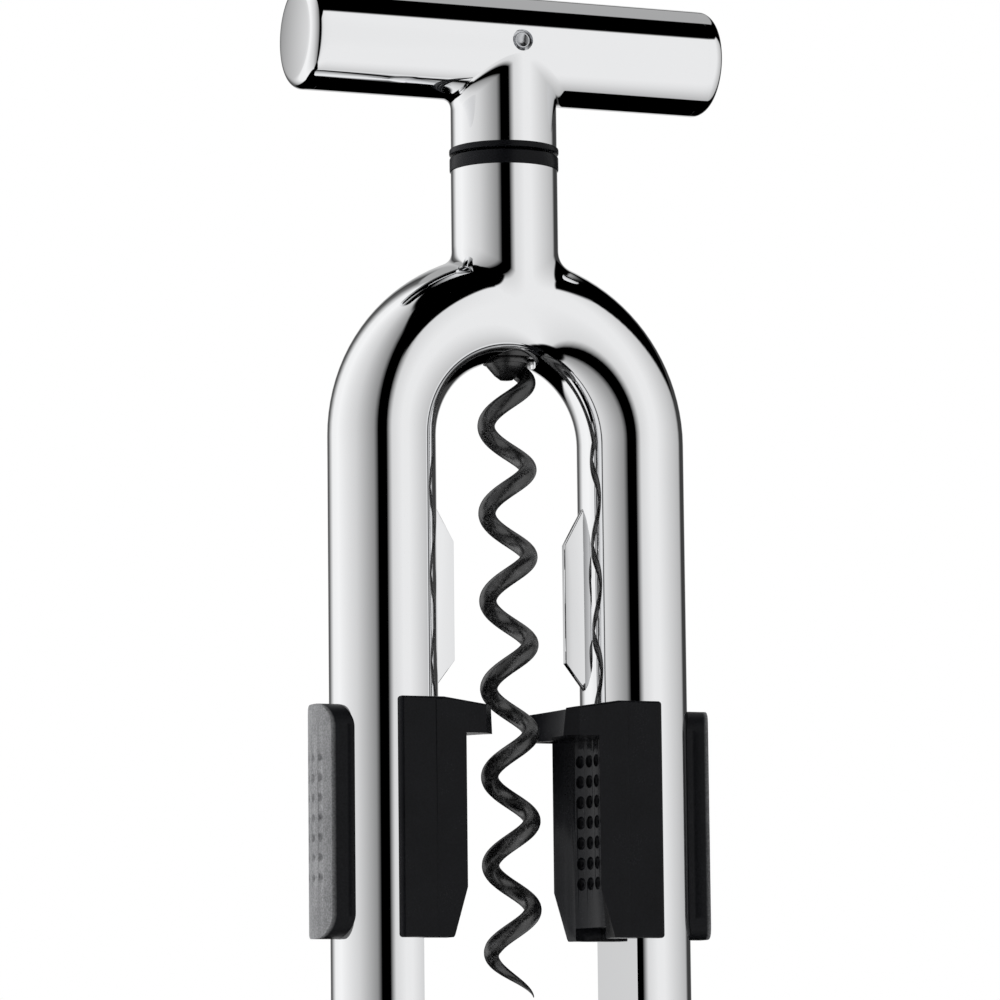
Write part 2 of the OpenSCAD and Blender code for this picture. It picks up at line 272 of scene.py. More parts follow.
@dataclass(frozen=True)
class MouldedPlastic(Finish):
    """Black moulded plastic with the grain of its tool, soft sheen and slight cloudiness."""

    paler: Colour = (0.012, 0.0125, 0.015)
    cloud_per_mm: float = 0.12
    cloud_share: float = 0.6
    colour_span: Pair = (0.35, 0.65)
    grain_per_mm: float = 3.0
    grain_height: float = 0.02
    grain_strength: float = 0.25
    gloss: Pair = (0.18, 0.3)
    gloss_span: Pair = (0.3, 0.7)
    shine: float = 0.12

    def dress(self, coat: Coat) -> None:
        """Adds the clouds, the sheen and the grain.

        Args:
            coat: The material in the making.
        """
        graph = coat.graph
        cloud, grain = coat.noise(self.cloud_per_mm, 3.0), coat.noise(self.grain_per_mm, 2.0)
        both = graph.blend(cloud, grain, self.cloud_share)
        coat.put("Base Color", graph.mix(graph.spread(both, self.colour_span, WHOLE), self.colour, self.paler))
        coat.put("Roughness", graph.spread(both, self.gloss_span, self.gloss))
        coat.put("Specular IOR Level", self.shine)
        coat.bump(grain, self.grain_strength, self.grain_height)


@dataclass(frozen=True)
class GrainedPadPaintedSheen(Finish):
    """Pad plastic: smooth dark sides and a coarsely grained face, whose pale colour is a painted sheen standing in
    for the bright reflection the face gives at a grazing view.

    The face starts near the outer radius about the leg, between the two face_steps inside it.
    """

    paler: Colour = (0.012, 0.0125, 0.015)
    # The face colours are a painted sheen: pale tones standing in for the bright reflection of the face at a
    # grazing view.
    face: Colour = (0.19, 0.192, 0.198)
    face_sheen_paler: Colour = (0.32, 0.322, 0.33)
    face_steps: Pair = (0.7, 0.15)
    colour_span: Pair = (0.38, 0.62)
    cloud_per_mm: float = 0.15
    grain_per_mm: float = 3.2
    grain_share: float = 0.7
    grain_height: float = 0.08
    grain_strength: Pair = (0.15, 0.8)
    gloss: Pair = (0.4, 0.7)
    shine: float = 0.12

    def dress(self, coat: Coat) -> None:
        """Adds the dark sides and the grained face, with a painted sheen in the face's pale colour.

        Args:
            coat: The material in the making.
        """
        graph, axes = coat.graph, coat.axes()
        out = graph.math("SUBTRACT", graph.math("ABSOLUTE", axes["X"]), LEG_X * MM)
        squares = [graph.math("MULTIPLY", way, way) for way in (out, axes["Y"])]
        reach = graph.math("SQRT", graph.math("ADD", *squares))
        near, far = ((PAD_FACE_R - step) * MM for step in self.face_steps)
        outer = graph.spread(reach, (near, far), WHOLE)
        grain, cloud = coat.noise(self.grain_per_mm, 2.0), coat.noise(self.cloud_per_mm, 3.0)
        both = graph.spread(graph.blend(grain, cloud, self.grain_share), self.colour_span, WHOLE)
        # The face's pale colour mixed in here is a painted sheen; the sides keep the plastic's own dark colour.
        side, face = graph.mix(both, self.colour, self.paler), graph.mix(both, self.face, self.face_sheen_paler)
        coat.put("Base Color", graph.mix(outer, side, face))
        coat.put("Roughness", graph.spread(outer, WHOLE, self.gloss))
        coat.put("Specular IOR Level", self.shine)
        coat.bump(grain, graph.spread(outer, WHOLE, self.grain_strength), self.grain_height)


@dataclass(frozen=True)
class WormCoating(Finish):
    """Satin non-stick coat on the worm, mottled with paler flecks."""

    fleck: Colour = (0.2, 0.2, 0.203)
    # Flecks lie only below this height and fade out over the last few millimetres, so the top of the worm stays
    # plain dark.
    flecks_below: float = 126.0
    flecks_fade: float = 4.0
    cloud_per_mm: float = 0.5
    cloud_span: Pair = (0.4, 0.62)
    cloud_range: Pair = (0.1, 1.0)
    fine_per_mm: float = 4.2
    fine_span: Pair = (0.45, 0.68)
    fine_height: float = 0.05
    fine_strength: float = 0.55
    gloss: Pair = (0.2, 0.38)
    gloss_span: Pair = (0.3, 0.7)
    shine: float = 1.0

    def dress(self, coat: Coat) -> None:
        """Adds the flecks, the satin and the fine grain.

        Args:
            coat: The material in the making.
        """
        graph = coat.graph
        cloud, fine = coat.noise(self.cloud_per_mm, 4.0), coat.noise(self.fine_per_mm, 3.0)
        fade = ((self.flecks_below - self.flecks_fade) * MM, self.flecks_below * MM)
        flecked = graph.spread(coat.axes()["Z"], fade, (1.0, 0.0))
        clouds = graph.spread(cloud, self.cloud_span, self.cloud_range)
        spots = graph.spread(fine, self.fine_span, WHOLE)
        share = graph.math("MULTIPLY", graph.math("MULTIPLY", clouds, spots), flecked)
        coat.put("Base Color", graph.mix(share, self.colour, self.fleck))
        coat.put("Roughness", graph.spread(fine, self.gloss_span, self.gloss))
        coat.put("Specular IOR Level", self.shine)
        coat.bump(fine, self.fine_strength, self.fine_height)


@dataclass(frozen=True)
class TurnedSteel(Finish):
    """Bright steel with the fine rings that turning leaves."""

    rings_per_mm: float = 2.0
    ring_wobble: float = 1.5
    ring_height: float = 0.01
    ring_strength: float = 0.12
    smear_per_mm: float = 0.8
    gloss: Pair = (0.18, 0.34)
    gloss_span: Pair = (0.3, 0.7)

    def dress(self, coat: Coat) -> None:
        """Adds the metal, its smears and its rings.

        Args:
            coat: The material in the making.
        """
        coat.put("Metallic", 1.0)
        coat.put("Roughness", coat.graph.spread(coat.noise(self.smear_per_mm), self.gloss_span, self.gloss))
        pattern = {"Scale": self.rings_per_mm / MM, "Distortion": self.ring_wobble, "Detail": 2.0}
        bands = {"wave_type": "BANDS", "bands_direction": "Z"}
        rings = coat.graph.node("ShaderNodeTexWave", bands, {"Vector": coat.place, **pattern})
        coat.bump(rings.outputs[1], self.ring_strength, self.ring_height)


class Finishes:
    """The finishes of the corkscrew, each made once."""

    def __init__(self) -> None:
        """Makes the five materials."""
        kinds: tuple[Finish, ...] = (
            ChromePlate(Slot.CHROME, (0.9, 0.905, 0.915)),
            MouldedPlastic(Slot.BLACK, (0.006, 0.0063, 0.008)),
            GrainedPadPaintedSheen(Slot.GRIP, (0.006, 0.0065, 0.008)),
            TurnedSteel(Slot.STEEL, (0.6, 0.61, 0.63)),
            WormCoating(Slot.COATED, (0.006, 0.006, 0.0065)),
        )
        self.made = {kind.slot: kind.material() for kind in kinds}

    def of(self, slot: Slot) -> Material:
        """The material of a slot."""
        return self.made[slot]


@dataclass
class Piece:
    """One finished piece: its object, the body it rides on, its slot and the node it stands for."""

    obj: Object
    body: Body
    slot: Slot
    node: str

    def seat(self, finishes: Finishes) -> None:
        """Dresses the piece, ties it to its body and hides the node it stands for.

        Args:
            finishes: The materials to choose from.
        """
        self.obj.data.materials.clear()
        self.obj.data.materials.append(finishes.of(self.slot))
        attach(self.obj, self.body.value)
        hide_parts(self.node)
        log.info("%s rides on %s, %d faces", self.obj.name, self.body.value, len(self.obj.data.polygons))


@dataclass
class SubAssembly:
    """What every sub-assembly shares: its finished pieces and the way they are dressed."""

    pieces: list[Piece] = field(default_factory=list, init=False)

    def keep(self, obj: Object, body: Body, slot: Slot, node: str) -> None:
        """Adds a finished piece."""
        self.pieces.append(Piece(obj, body, slot, node))

    def build(self) -> None:
        """Makes the pieces, which each sub-assembly does its own way."""

    def dress(self, finishes: Finishes) -> None:
        """Seats every piece in its finish."""
        for piece in self.pieces:
            piece.seat(finishes)


class Workshop:
    """Ways of making a mesh that the sub-assemblies share."""

    SMOOTH_BELOW = math.radians(28)
    SHARP_ABOVE = math.radians(40)
    FLAT_WITHIN = math.radians(0.2)
    SAME_POINT = 1e-6
    SAME_RING_POINT = 1e-7
    ON_SURFACE = 0.02 * MM
    RIM_SLOPE = 1.5 * MM
    ALIKE = 0.9

    @staticmethod
    def link(name: str, mesh: Mesh) -> Object:
        """Puts a mesh into the scene as an object at the origin.

        Args:
            name: The object's name.
            mesh: Its mesh.

        Returns:
            The object.
        """
        obj = bpy.data.objects.new(name, mesh)
        bpy.context.scene.collection.objects.link(obj)
        return obj

    @staticmethod
    @contextmanager
    def shaping(mesh: Mesh) -> Iterator[bmesh.types.BMesh]:
        """Opens a mesh for editing in a with block and writes it back.

        Args:
            mesh: The mesh.

        Returns:
            The editable shape.
        """
        shape = bmesh.new()
        shape.from_mesh(mesh)
        yield shape
        shape.to_mesh(mesh)
        shape.free()

    @classmethod
    def smooth(cls, mesh: Mesh) -> None:
        """Shades a mesh smooth, with sharp edges where it bends strongly.

        Args:
            mesh: The mesh.
        """
        mesh.polygons.foreach_set("use_smooth", [True] * len(mesh.polygons))
        mesh.set_sharp_from_angle(angle=cls.SMOOTH_BELOW)
        mesh.update()

    @classmethod
    def copy_of(cls, node: str, name: str) -> Object:
        """Makes a merged copy of a node's mesh, with flat faces joined.

        Args:
            node: The node to copy.
            name: The copy's name.

        Returns:
            The copy's object.
        """
        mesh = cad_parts[node].data.copy()
        mesh.name = name
        mesh.materials.clear()
        with cls.shaping(mesh) as shape:
            bmesh.ops.remove_doubles(shape, verts=shape.verts, dist=cls.SAME_POINT)
            bmesh.ops.dissolve_limit(shape, angle_limit=cls.FLAT_WITHIN, verts=shape.verts, edges=shape.edges)
        cls.smooth(mesh)
        return cls.link(name, mesh)

    @staticmethod
    def bake(obj: Object) -> None:
        """Turns the evaluated object into its plain mesh and removes its modifiers.

        Args:
            obj: The object.
        """
        bpy.context.view_layer.update()
        made = bpy.data.meshes.new_from_object(obj.evaluated_get(bpy.context.evaluated_depsgraph_get()))
        obj.modifiers.clear()
        obj.data = made

    @classmethod
    def grow(cls, obj: Object, tree: bpy.types.NodeTree, sizes: dict[str, float]) -> None:
        """Runs a node tree on an object and keeps the result as its mesh.

        Args:
            obj: The object.
            tree: The node tree.
            sizes: Values for the tree's named inputs.
        """
        modifier = obj.modifiers.new(tree.name, "NODES")
        modifier.node_group = tree
        for item in tree.interface.items_tree:
            if item.in_out == "INPUT" and item.name in sizes:
                modifier[item.identifier] = sizes[item.name]
        cls.bake(obj)

    @classmethod
    def soften(cls, obj: Object, width: float, steps: int = 3) -> None:
        """Rounds the sharp edges of a piece.

        Args:
            obj: The piece.
            width: Width of the rounding in millimetres.
            steps: Faces across the rounding.
        """
        bevel = obj.modifiers.new("soften", "BEVEL")
        bevel.width = width * MM
        bevel.segments = steps
        bevel.limit_method = "ANGLE"
        bevel.angle_limit = cls.SHARP_ABOVE
        bevel.use_clamp_overlap = True
        cls.bake(obj)
        cls.smooth(obj.data)

    @classmethod
    def round_rim(cls, obj: Object, width: float, beyond_y: float, steps: int = 4) -> None:
        """Rounds the top and bottom rims of a moulding's front and back faces.

        Args:
            obj: The piece.
            width: Width of the rounding in millimetres.
            beyond_y: Distance from the middle past which an edge is part of a rim, in millimetres.
            steps: Faces across the rounding.
        """
        with cls.shaping(obj.data) as shape:
            ends = [pick(v.co.z for v in shape.verts) for pick in (min, max)]

            def on_rim(edge: bmesh.types.BMEdge, end: float) -> bool:
                """Whether an edge lies at one end, near the front or back face."""
                return all(abs(v.co.z - end) < cls.RIM_SLOPE and abs(v.co.y) > beyond_y * MM for v in edge.verts)

            sharp = [e for e in shape.edges if e.is_manifold and e.calc_face_angle_signed(0.0) > cls.SHARP_ABOVE]
            rim = [e for e in sharp if any(on_rim(e, end) for end in ends)]
            bmesh.ops.bevel(shape, geom=rim, offset=width * MM, offset_type="OFFSET", segments=steps,
                            profile=0.5, affect="EDGES", clamp_overlap=False)
        cls.smooth(obj.data)

    @classmethod
    def even(cls, obj: Object) -> None:
        """Keeps the flat faces of a piece flat in shading beside its rounded edges.

        Args:
            obj: The piece.
        """
        weighted = obj.modifiers.new("even", "WEIGHTED_NORMAL")
        weighted.keep_sharp = True
        weighted.weight = 100
        cls.bake(obj)

    @classmethod
    def true_normals(cls, obj: Object, exact: Sequence[Optional[Vector]]) -> None:
        """Gives the corners on a ruled surface that surface's exact normal.

        Args:
            obj: The piece.
            exact: The exact normal at each vertex, or None off the surface.
        """
        mesh = obj.data
        normals = [Vector(corner.vector) for corner in mesh.corner_normals]
        for face in mesh.polygons:
            for corner in face.loop_indices:
                normal = exact[mesh.loops[corner].vertex_index]
                if normal is not None and normal.dot(face.normal) > cls.ALIKE:
                    normals[corner] = normal
        mesh.normals_split_custom_set([tuple(n) for n in normals])

    @classmethod
    def lathe(cls, name: str, profile: Sequence[Pair], axis: Vector, start: Vector, around: int = 96) -> Object:
        """Turns a closed shape from a profile that starts and ends on the axis.

        Args:
            name: The object's name.
            profile: Pairs of radius and height along the axis, in millimetres.
            axis: Unit direction of the axis.
            start: The point of height zero, in millimetres.
            around: Faces around the axis.

        Returns:
            The object.
        """
        across = axis.orthogonal().normalized()
        beside = axis.cross(across)
        turns = [math.tau * k / around for k in range(around)]
        spokes = [across * math.cos(t) + beside * math.sin(t) for t in turns]
        points = [(start + axis * high + spoke * r) * MM for r, high in profile for spoke in spokes]
        return cls.rings(name, points, around, False)

    @staticmethod
    def ring_faces(count: int, around: int, closed: bool) -> list[tuple[int, ...]]:
        """Lists the faces between rings of points.

        Args:
            count: Number of rings.
            around: Points in a ring.
            closed: Whether the last ring joins the first.

        Returns:
            The corners of each face.
        """
        rows = [(j * around, (j + 1) % count * around) for j in range(count if closed else count - 1)]
        sides = [(i, (i + 1) % around) for i in range(around)]
        return [(low + i, low + k, high + k, high + i) for low, high in rows for i, k in sides]

    @classmethod
    def rings(cls, name: str, points: Sequence[Vector], around: int, closed: bool) -> Object:
        """Joins rings of points to a skin.

        Args:
            name: The object's name.
            points: The points in metres, ring after ring.
            around: Points in a ring.
            closed: Whether the last ring joins the first.

        Returns:
            The object.
        """
        mesh = bpy.data.meshes.new(name)
        faces = cls.ring_faces(len(points) // around, around, closed)
        mesh.from_pydata([tuple(p) for p in points], [], faces)
        with cls.shaping(mesh) as shape:
            bmesh.ops.remove_doubles(shape, verts=shape.verts, dist=cls.SAME_RING_POINT)
            bmesh.ops.recalc_face_normals(shape, faces=shape.faces)
        cls.smooth(mesh)
        return cls.link(name, mesh)

    @classmethod
    def part_line(cls, obj: Object, at_x: float, face_y: float, width: float = 0.36, depth: float = 0.16) -> None:
        """Presses the fine upright line of a split mould into the front and back faces.

        Args:
            obj: The piece.
            at_x: Place of the line in millimetres.
            face_y: Distance of both faces from the middle in millimetres.
            width: Width of the line.
            depth: Depth of the line.
        """
        with cls.shaping(obj.data) as shape:
            for shift in (-width / 2, 0.0, width / 2):
                everything = shape.verts[:] + shape.edges[:] + shape.faces[:]
                place = ((at_x + shift) * MM, 0, 0)
                bmesh.ops.bisect_plane(shape, geom=everything, plane_co=place, plane_no=(1, 0, 0))
            for vert in shape.verts:
                on_face = abs(abs(vert.co.y) - face_y * MM) < cls.ON_SURFACE
                if on_face and abs(vert.co.x - at_x * MM) < cls.SAME_POINT:
                    vert.co.y -= math.copysign(depth * MM, vert.co.y)
        cls.smooth(obj.data)

    @classmethod
    def radial(cls, point: Vector, centre: Vector, radius: float) -> Optional[Vector]:
        """The outward unit normal of a round surface, or None where the point isn't on it."""
        out = point - centre
        return out.normalized() if abs(out.length - radius) < cls.ON_SURFACE else None


@dataclass
class BlendedTube:
    """An upright tube of which one end runs into a round bar over a fillet.

    Sizes are in millimetres, and the rises in degrees from the bar's middle: the skin ends at
    side_rise along the bar and at front_rise across it.
    """

    name: str
    radius: float
    bore_r: float
    far_z: float
    joint_z: float
    host: Field
    fillet: float
    side_rise: float
    front_rise: float = 0.0
    straight: float = 13.0
    proud: float = 0.02
    sunk: float = 0.08
    sink_power: int = 8
    inner_share: float = 0.8
    nearest: float = 2.0
    farthest: float = 30.0
    halvings: int = 40
    probe: float = 0.01
    least_bend: float = 1e-4
    around: int = 160
    along: int = 40

    def wall(self, points: np.ndarray) -> np.ndarray:
        """Distance of points from the tube's own wall."""
        return np.hypot(points[..., 0], points[..., 1]) - self.radius

    @staticmethod
    def slope(rule: Field, points: np.ndarray, step: float) -> np.ndarray:
        """How much a distance changes over two steps along x, y and z."""
        return np.stack([rule(points + d) - rule(points - d) for d in np.eye(3) * step], axis=-1)

    def gap(self, points: np.ndarray) -> np.ndarray:
        """Distance of points from the filleted skin, positive outside.

        Args:
            points: Points in millimetres.

        Returns:
            The distances.
        """
        own, other = self.wall(points), self.host(points)
        slopes = self.slope(self.wall, points, self.probe) * self.slope(self.host, points, self.probe)
        lean = slopes.sum(axis=-1) / (2 * self.probe) ** 2
        width = self.fillet * np.sqrt(np.maximum(1 - lean, self.least_bend))
        share = np.maximum(width - np.abs(own - other), 0) / width
        return np.minimum(own, other) - width * share**2 / 4

    def skin(self, turn: np.ndarray) -> np.ndarray:
        """Finds the filleted skin by halving along rays from the joint.

        Args:
            turn: Angles around the tube in radians.

        Returns:
            The skin's points, row after row towards the bar.
        """
        up = math.copysign(1.0, self.far_z - self.joint_z)
        share = np.linspace(0, 1, self.along + 1)[:, None]
        first = math.degrees(math.atan(self.straight / self.radius))
        last = self.front_rise + (self.side_rise - self.front_rise) * np.cos(turn) ** 2
        rise = np.radians(first * (1 - share) + last * share)
        aim = np.stack([np.cos(turn) * np.cos(rise), np.sin(turn) * np.cos(rise), up * np.sin(rise)], axis=-1)
        start, level = np.array([0, 0, self.joint_z]), self.proud - self.sunk * share**self.sink_power
        inside, outside = np.full(rise.shape, self.nearest), np.full(rise.shape, self.farthest)
        for _ in range(self.halvings):
            middle = (inside + outside) / 2
            within = self.gap(start + middle[..., None] * aim) < level
            inside, outside = np.where(within, middle, inside), np.where(within, outside, middle)
        return start + inside[..., None] * aim

    def build(self) -> Object:
        """Makes the closed tube.

        Returns:
            The object.
        """
        turn = np.arange(self.around) * math.tau / self.around
        skin = self.skin(turn)

        def ring(radius: float, height: float) -> np.ndarray:
            """One level ring of points."""
            return np.stack([radius * np.cos(turn), radius * np.sin(turn), np.full(self.around, height)], axis=-1)

        rim = ring(self.radius + self.proud, self.far_z)
        bore = [ring(self.bore_r, self.joint_z), ring(self.bore_r, self.far_z)]
        rows = [*bore, rim, *skin, ring(self.inner_share * self.radius, self.joint_z)]
        tube = Workshop.rings(self.name, [Vector(p) * MM for p in np.concatenate(rows)], self.around, True)
        facing = self.slope(self.gap, np.concatenate([rim, *skin]), 2 * self.probe)
        hidden = [None] * self.around
        Workshop.true_normals(tube, [*hidden, *hidden, *(Vector(n).normalized() for n in facing), *hidden])
        return tube


@dataclass
class ChromeFrame(SubAssembly):
    """Bent round bar, neck and cork fins."""

    leg_r: float = 8.6
    arch_z: float = 118.8
    neck_r: float = 8.55
    neck_bore_r: float = 6.03
    foot_fillet: float = 2.8
    foot_rise: float = 22.0
    fin_edge: float = 0.15

    def bar_rule(self, point: Vector) -> Optional[Vector]:
        """Exact normal of the bent bar.

        Args:
            point: A point in metres.

        Returns:
            The normal, or None off the bar's round surface.
        """
        leg, spring = LEG_X * MM, self.arch_z * MM
        if point.z <= spring:
            centre = Vector((math.copysign(leg, point.x), 0, point.z))
        else:
            turn = math.atan2(point.z - spring, point.x)
            centre = Vector((leg * math.cos(turn), 0, spring + leg * math.sin(turn)))
        return Workshop.radial(point, centre, self.leg_r * MM)

    def arch_field(self, points: np.ndarray) -> np.ndarray:
        """Distance of points in millimetres from the arch."""
        from_line = np.hypot(points[..., 0], points[..., 2] - self.arch_z) - LEG_X
        return np.hypot(from_line, points[..., 1]) - self.leg_r

    def build(self) -> None:
        """Makes the chromed pieces of the frame."""
        bar = Workshop.copy_of("frame_bar", "bent_bar")
        Workshop.true_normals(bar, [self.bar_rule(vert.co) for vert in bar.data.vertices])
        self.keep(bar, Body.FRAME, Slot.CHROME, "frame_bar")
        neck = BlendedTube(
            "neck_sleeve", radius=self.neck_r, bore_r=self.neck_bore_r, far_z=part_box("neck_tube")[1][2] / MM,
            joint_z=self.arch_z + LEG_X, host=self.arch_field, fillet=self.foot_fillet, side_rise=self.foot_rise,
        )
        self.keep(neck.build(), Body.FRAME, Slot.CHROME, "neck_tube")
        for side in Side:
            fin = Workshop.copy_of(f"cork_fin_{side.word}", f"bite_fin_{side.word}")
            Workshop.soften(fin, self.fin_edge, 2)
            self.keep(fin, Body.FRAME, Slot.CHROME, f"cork_fin_{side.word}")


@dataclass
class Bushes(SubAssembly):
    """Upper and lower plain bush."""

    edge: float = 0.25

    def build(self) -> None:
        """Makes both bushes with rounded edges."""
        for word in ("upper", "lower"):
            bush = Workshop.copy_of(f"{word}_bush", f"plain_bush_{word}")
            Workshop.soften(bush, self.edge)
            self.keep(bush, Body.FRAME, Slot.BLACK, f"{word}_bush")


@dataclass(frozen=True)
class Dimples:
    """Rows of round recesses, cut into a moulding by a node tree.

    Sizes are in millimetres and the step from column to column in degrees about the axis.
    """

    columns: int
    rows: int
    turn_step: float
    row_step: float
    first_z: float
    surface_r: float
    axis_x: float
    inward: bool
    recess_d: float
    depth: float

    def sizes(self, side: Side) -> dict[str, float]:
        """Works out the values of the tree's inputs.

        Args:
            side: The leg that carries the moulding.

        Returns:
            The values by name.
        """
        ball_r = ((self.recess_d / 2) ** 2 + self.depth**2) / (2 * self.depth)
        stand = (ball_r - self.depth) * (-1 if self.inward else 1)
        return {
            "Columns": self.columns, "Count": self.columns * self.rows,
            "Turn step": math.radians(self.turn_step), "Row step": self.row_step * MM,
            "First row": self.first_z * MM, "Ring radius": (self.surface_r + stand) * MM,
            "Axis": side.value * self.axis_x * MM, "Facing": 0.0 if side is Side.RIGHT else math.pi,
            "Ball radius": ball_r * MM,
        }

    @staticmethod
    def spots(graph: Graph, given: Sockets) -> Socket:
        """Builds the nodes that place each recess by its index.

        Args:
            graph: The tree's graph.
            given: The tree's inputs.

        Returns:
            The place's socket.
        """
        index = graph.first("GeometryNodeInputIndex")
        column = graph.math("MODULO", index, given["Columns"])
        row = graph.math("FLOOR", graph.math("DIVIDE", index, given["Columns"]))
        middle = graph.math("DIVIDE", graph.math("SUBTRACT", given["Columns"], 1.0), 2.0)
        swing = graph.math("MULTIPLY", graph.math("SUBTRACT", column, middle), given["Turn step"])
        turn = graph.math("ADD", given["Facing"], swing)
        out = graph.math("MULTIPLY", given["Ring radius"], graph.math("COSINE", turn))
        return graph.first("ShaderNodeCombineXYZ", inputs={
            "X": graph.math("ADD", given["Axis"], out),
            "Y": graph.math("MULTIPLY", given["Ring radius"], graph.math("SINE", turn)),
            "Z": graph.math("ADD", given["First row"], graph.math("MULTIPLY", row, given["Row step"])),
        })

    def cut(self, obj: Object, side: Side) -> None:
        """Cuts the recesses into a piece.

        Args:
            obj: The piece.
            side: The leg that carries it.
        """
        sizes = self.sizes(side)
        graph, given = Graph.geometry("recess_rows", sizes, True)
        spots = {"Count": given["Count"], "Position": self.spots(graph, given)}
        points = graph.first("GeometryNodePoints", inputs=spots)
        round_shape = {"Segments": 20, "Rings": 12, "Radius": given["Ball radius"]}
        ball = graph.first("GeometryNodeMeshUVSphere", inputs=round_shape)
        balls = graph.first("GeometryNodeInstanceOnPoints", inputs={"Points": points, "Instance": ball})
        solid = graph.first("GeometryNodeRealizeInstances", inputs={"Geometry": balls})
        taking = {"operation": "DIFFERENCE", "solver": "EXACT"}
        meshes = {"Mesh 1": given["Geometry"], "Mesh 2": solid}
        graph.end("NodeGroupOutput", graph.first("GeometryNodeMeshBoolean", taking, meshes))
        Workshop.grow(obj, graph.tree, sizes)
        Workshop.smooth(obj.data)


@dataclass
class Jaws(SubAssembly):
    """The two cup halves that hold the bottle's finish."""

    edge: float = 0.5
    rim_y: float = 8.5
    half_w: float = 9.6
    line_x: float = 16.4
    recesses: Dimples = Dimples(
        columns=5, rows=7, turn_step=9.3, row_step=3.26, first_z=48.6,
        surface_r=14.8, axis_x=0.0, inward=True, recess_d=2.1, depth=0.8,
    )

    def build(self) -> None:
        """Makes both jaws with rounded rims, parting lines and rows of recesses."""
        for side in Side:
            jaw = Workshop.copy_of(f"jaw_{side.word}", f"cup_jaw_{side.word}")
            Workshop.round_rim(jaw, self.edge, self.rim_y)
            Workshop.part_line(jaw, side.value * self.line_x, self.half_w)
            self.recesses.cut(jaw, side)
            Workshop.even(jaw)
            self.keep(jaw, Body.FRAME, Slot.BLACK, f"jaw_{side.word}")


@dataclass
class GripPads(SubAssembly):
    """The finger pads outside the legs."""

    edge: float = 1.0
    half_w: float = 5.2
    line_x: float = 29.4
    dots: Dimples = Dimples(
        columns=3, rows=7, turn_step=12.1, row_step=3.1, first_z=49.0,
        surface_r=PAD_FACE_R, axis_x=LEG_X, inward=False, recess_d=1.5, depth=0.38,
    )

    def build(self) -> None:
        """Makes both pads with rounded edges, parting lines and columns of dots."""
        for side in Side:
            pad = Workshop.copy_of(f"grip_pad_{side.word}", f"finger_pad_{side.word}")
            Workshop.soften(pad, self.edge, 4)
            Workshop.part_line(pad, side.value * self.line_x, self.half_w)
            self.dots.cut(pad, side)
            self.keep(pad, Body.FRAME, Slot.GRIP, f"grip_pad_{side.word}")


@dataclass
class Feet(SubAssembly):
    """The plugs that close the legs."""

    def build(self) -> None:
        """Makes both foot plugs."""
        for side in Side:
            plug = Workshop.copy_of(f"foot_plug_{side.word}", f"leg_plug_{side.word}")
            self.keep(plug, Body.FRAME, Slot.BLACK, f"foot_plug_{side.word}")


